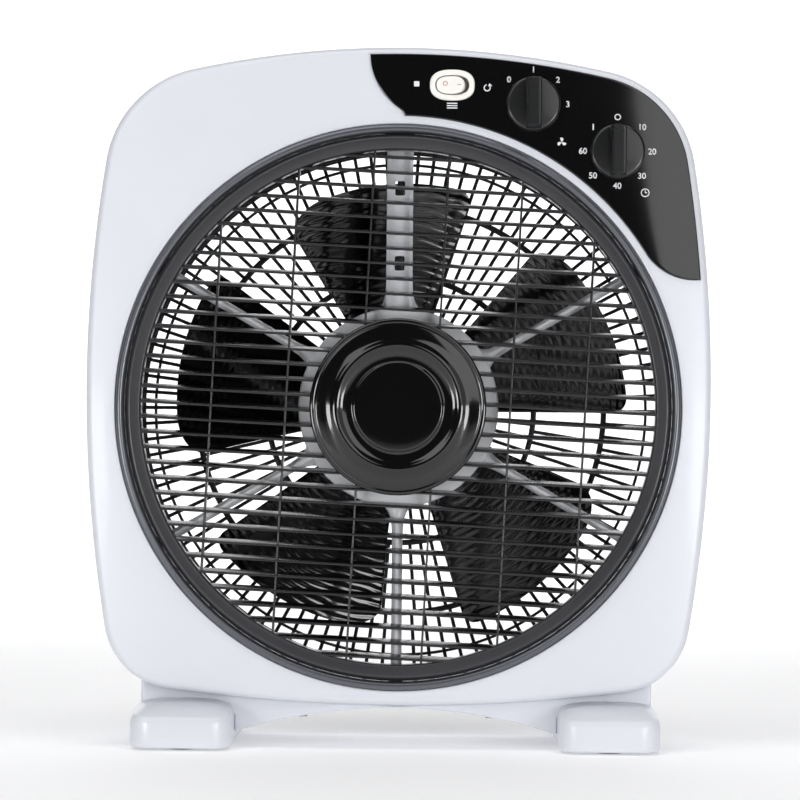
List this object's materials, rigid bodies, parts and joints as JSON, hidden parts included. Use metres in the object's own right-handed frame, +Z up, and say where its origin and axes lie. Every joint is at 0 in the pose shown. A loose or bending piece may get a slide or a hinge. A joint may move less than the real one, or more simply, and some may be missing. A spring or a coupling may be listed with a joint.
{
  "type": "box fan",
  "caption": "Free-standing box fan: moulded housing on feet, bladed impeller, slatted front louver that turns, speed and timer knobs.",
  "frame": {"origin": "on the floor, under the middle of the body", "axes": "+Z up, the fan axis along Y, the front towards -Y, +X to the right of a person who faces the front"},
  "size_m": [0.4048, 0.165, 0.4546],
  "materials": {
    "white_abs": "moulded ABS, soft gloss",
    "trim_grey": "metallic grey lacquer on ABS",
    "panel_black": "polished black ABS",
    "grey_abs": "silver-grey moulded ABS",
    "louver_black": "satin black ABS",
    "grille_black": "black polypropylene",
    "blade_black": "glossy black polypropylene",
    "rubber_pads": "moulded rubber",
    "motor_steel": "zinc-coated pressed steel",
    "laminated_steel": "varnished laminations",
    "copper_wire": "enamelled wire",
    "bronze_bush": "sintered bronze",
    "zinc_steel": "bright zinc",
    "blackened_steel": "blackened steel",
    "bright_steel": "ground steel",
    "capacitor_black": "moulded plastic",
    "lead_black": "vinyl insulation",
    "switch_plastic": "phenolic",
    "rocker_white": "white nylon"
  },
  "bodies": {
    "housing": {"front_cover": "white_abs", "trim_ring": "trim_grey", "control_panel": "panel_black", "louver_bracket": "grey_abs", "rear_cover": "white_abs", "rear_grille": "grille_black", "base": "white_abs", "foot_left": "white_abs", "foot_right": "white_abs", "foot_pad_front_left": "rubber_pads", "foot_pad_rear_left": "rubber_pads", "foot_pad_front_right": "rubber_pads", "foot_pad_rear_right": "rubber_pads", "motor_front_shield": "motor_steel", "motor_rear_shield": "motor_steel", "motor_stator": "laminated_steel", "motor_windings": "copper_wire", "motor_bush_front": "bronze_bush", "motor_bush_rear": "bronze_bush", "motor_bolts": "zinc_steel", "motor_mount_screws": "zinc_steel", "capacitor": "capacitor_black", "capacitor_clip": "zinc_steel", "louver_motor": "motor_steel", "louver_motor_screws": "zinc_steel", "speed_switch": "switch_plastic", "speed_switch_nut": "zinc_steel", "timer": "motor_steel", "timer_nut": "zinc_steel", "rocker_housing": "rocker_white", "motor_lead": "lead_black", "louver_lead": "lead_black", "cover_screws": "zinc_steel", "bracket_screws": "zinc_steel", "grille_screws": "blackened_steel", "base_screws": "zinc_steel", "foot_screws": "zinc_steel"},
    "fan": {"motor_shaft": "bright_steel", "rotor": "motor_steel", "fan_blades": "blade_black", "drive_pin": "zinc_steel", "spinner_nut": "blade_black"},
    "louver": {"louver_grille": "louver_black", "louver_cap": "panel_black", "louver_motor_shaft": "bright_steel", "louver_screw": "zinc_steel"},
    "speed_dial": {"speed_knob": "louver_black", "speed_spindle": "bright_steel"},
    "timer_dial": {"timer_knob": "louver_black", "timer_spindle": "bright_steel"},
    "rocker": {"louver_rocker": "rocker_white"}
  },
  "joints": [
    {"name": "fan_spin", "type": "hinge", "parent": "housing", "child": "fan", "pos_m": [0, 0, 0.221], "axis": [0, 1, 0], "continuous": true},
    {"name": "louver_spin", "type": "hinge", "parent": "housing", "child": "louver", "pos_m": [0, 0, 0.221], "axis": [0, 1, 0], "continuous": true},
    {"name": "speed_turn", "type": "hinge", "parent": "housing", "child": "speed_dial", "pos_m": [0.08567, -0.07, 0.4171], "axis": [0, 1, 0], "range_deg": [-45, 90]},
    {"name": "timer_turn", "type": "hinge", "parent": "housing", "child": "timer_dial", "pos_m": [0.14019, -0.07, 0.3869], "axis": [0, 1, 0], "range_deg": [-45, 270]},
    {"name": "rocker_tip", "type": "hinge", "parent": "housing", "child": "rocker", "pos_m": [0.03331, -0.0568, 0.42895], "axis": [0, 0, 1], "range_deg": [0, 20]}
  ]
}
